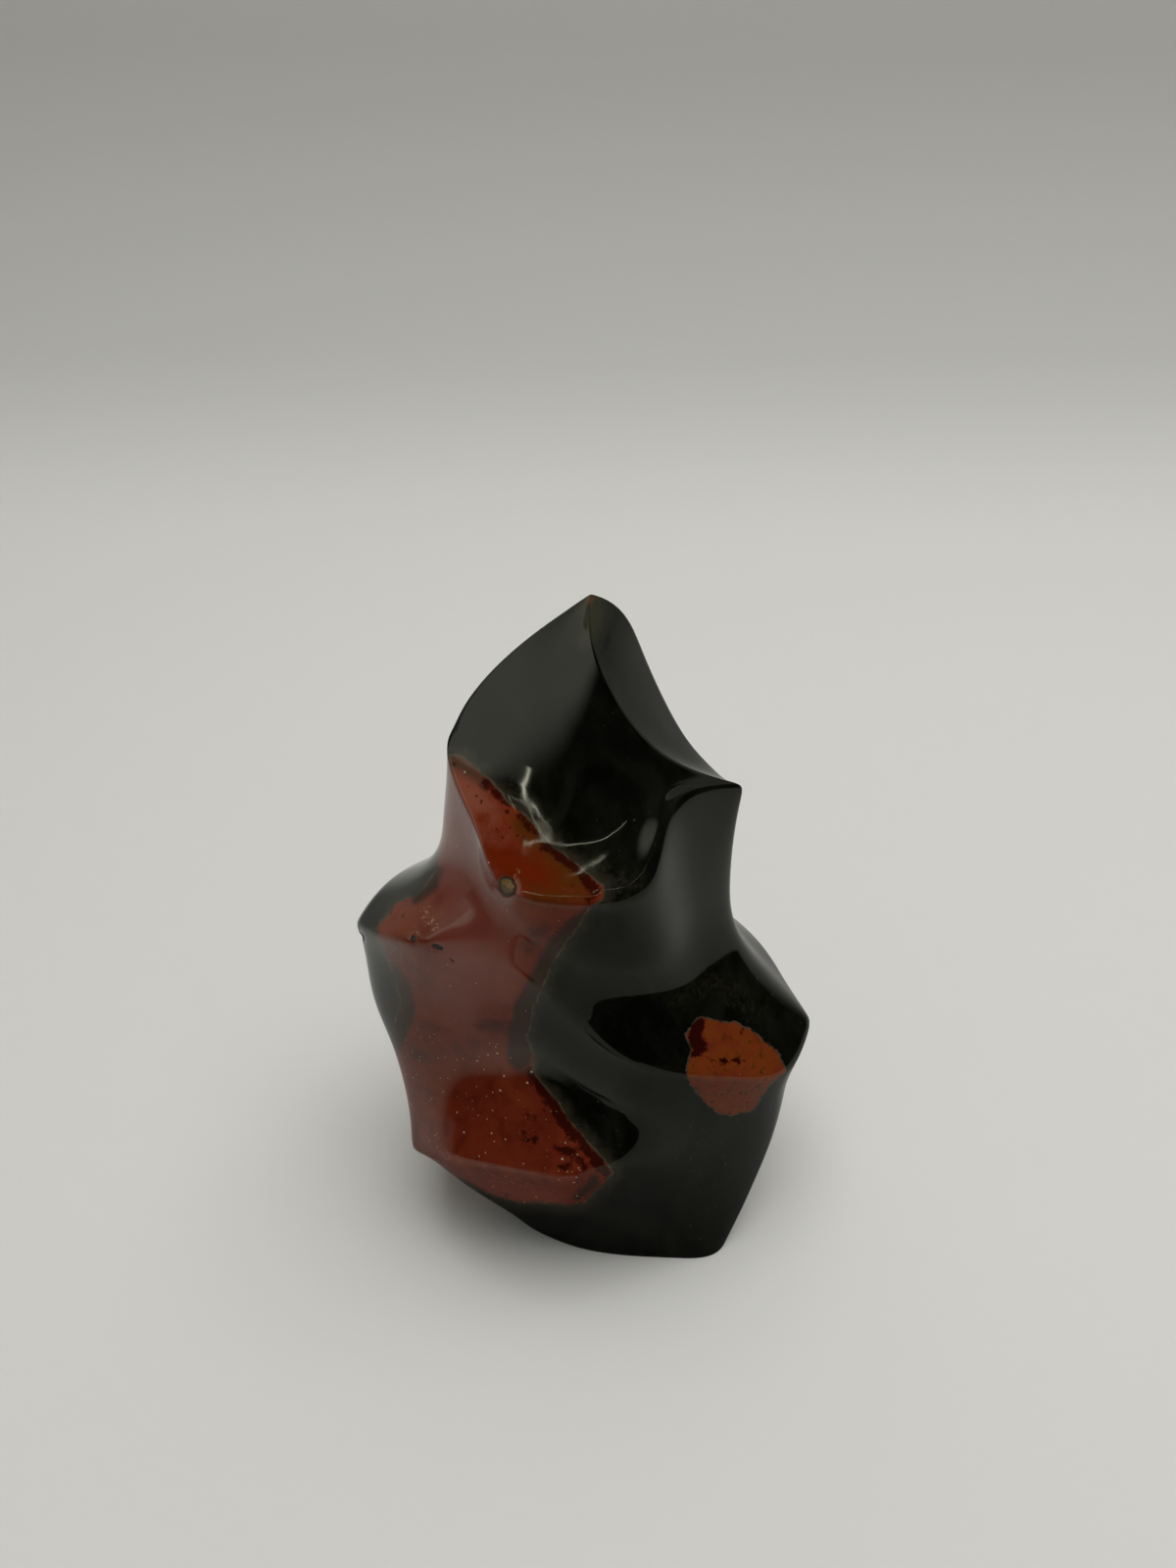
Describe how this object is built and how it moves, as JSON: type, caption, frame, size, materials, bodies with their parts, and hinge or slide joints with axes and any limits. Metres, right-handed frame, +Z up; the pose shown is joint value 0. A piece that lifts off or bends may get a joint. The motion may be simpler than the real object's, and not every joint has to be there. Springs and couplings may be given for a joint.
{
  "type": "polished jasper flame",
  "caption": "Free-standing flame carving of polished dark jasper with red patches: a pointed crown, two side points, scooped hollows and a small flat base.",
  "frame": {"origin": "centre of the stone's box on the surface that it stands on", "axes": "+Z up through the tip, -Y towards the front with the long lip, +X to the right"},
  "size_m": [0.0599, 0.0422, 0.0953],
  "materials": {
    "jasper": "high polish, dark green-grey jasper with brick-red and orange patches"
  },
  "bodies": {
    "root": {"flame_stone": "jasper"}
  },
  "joints": []
}
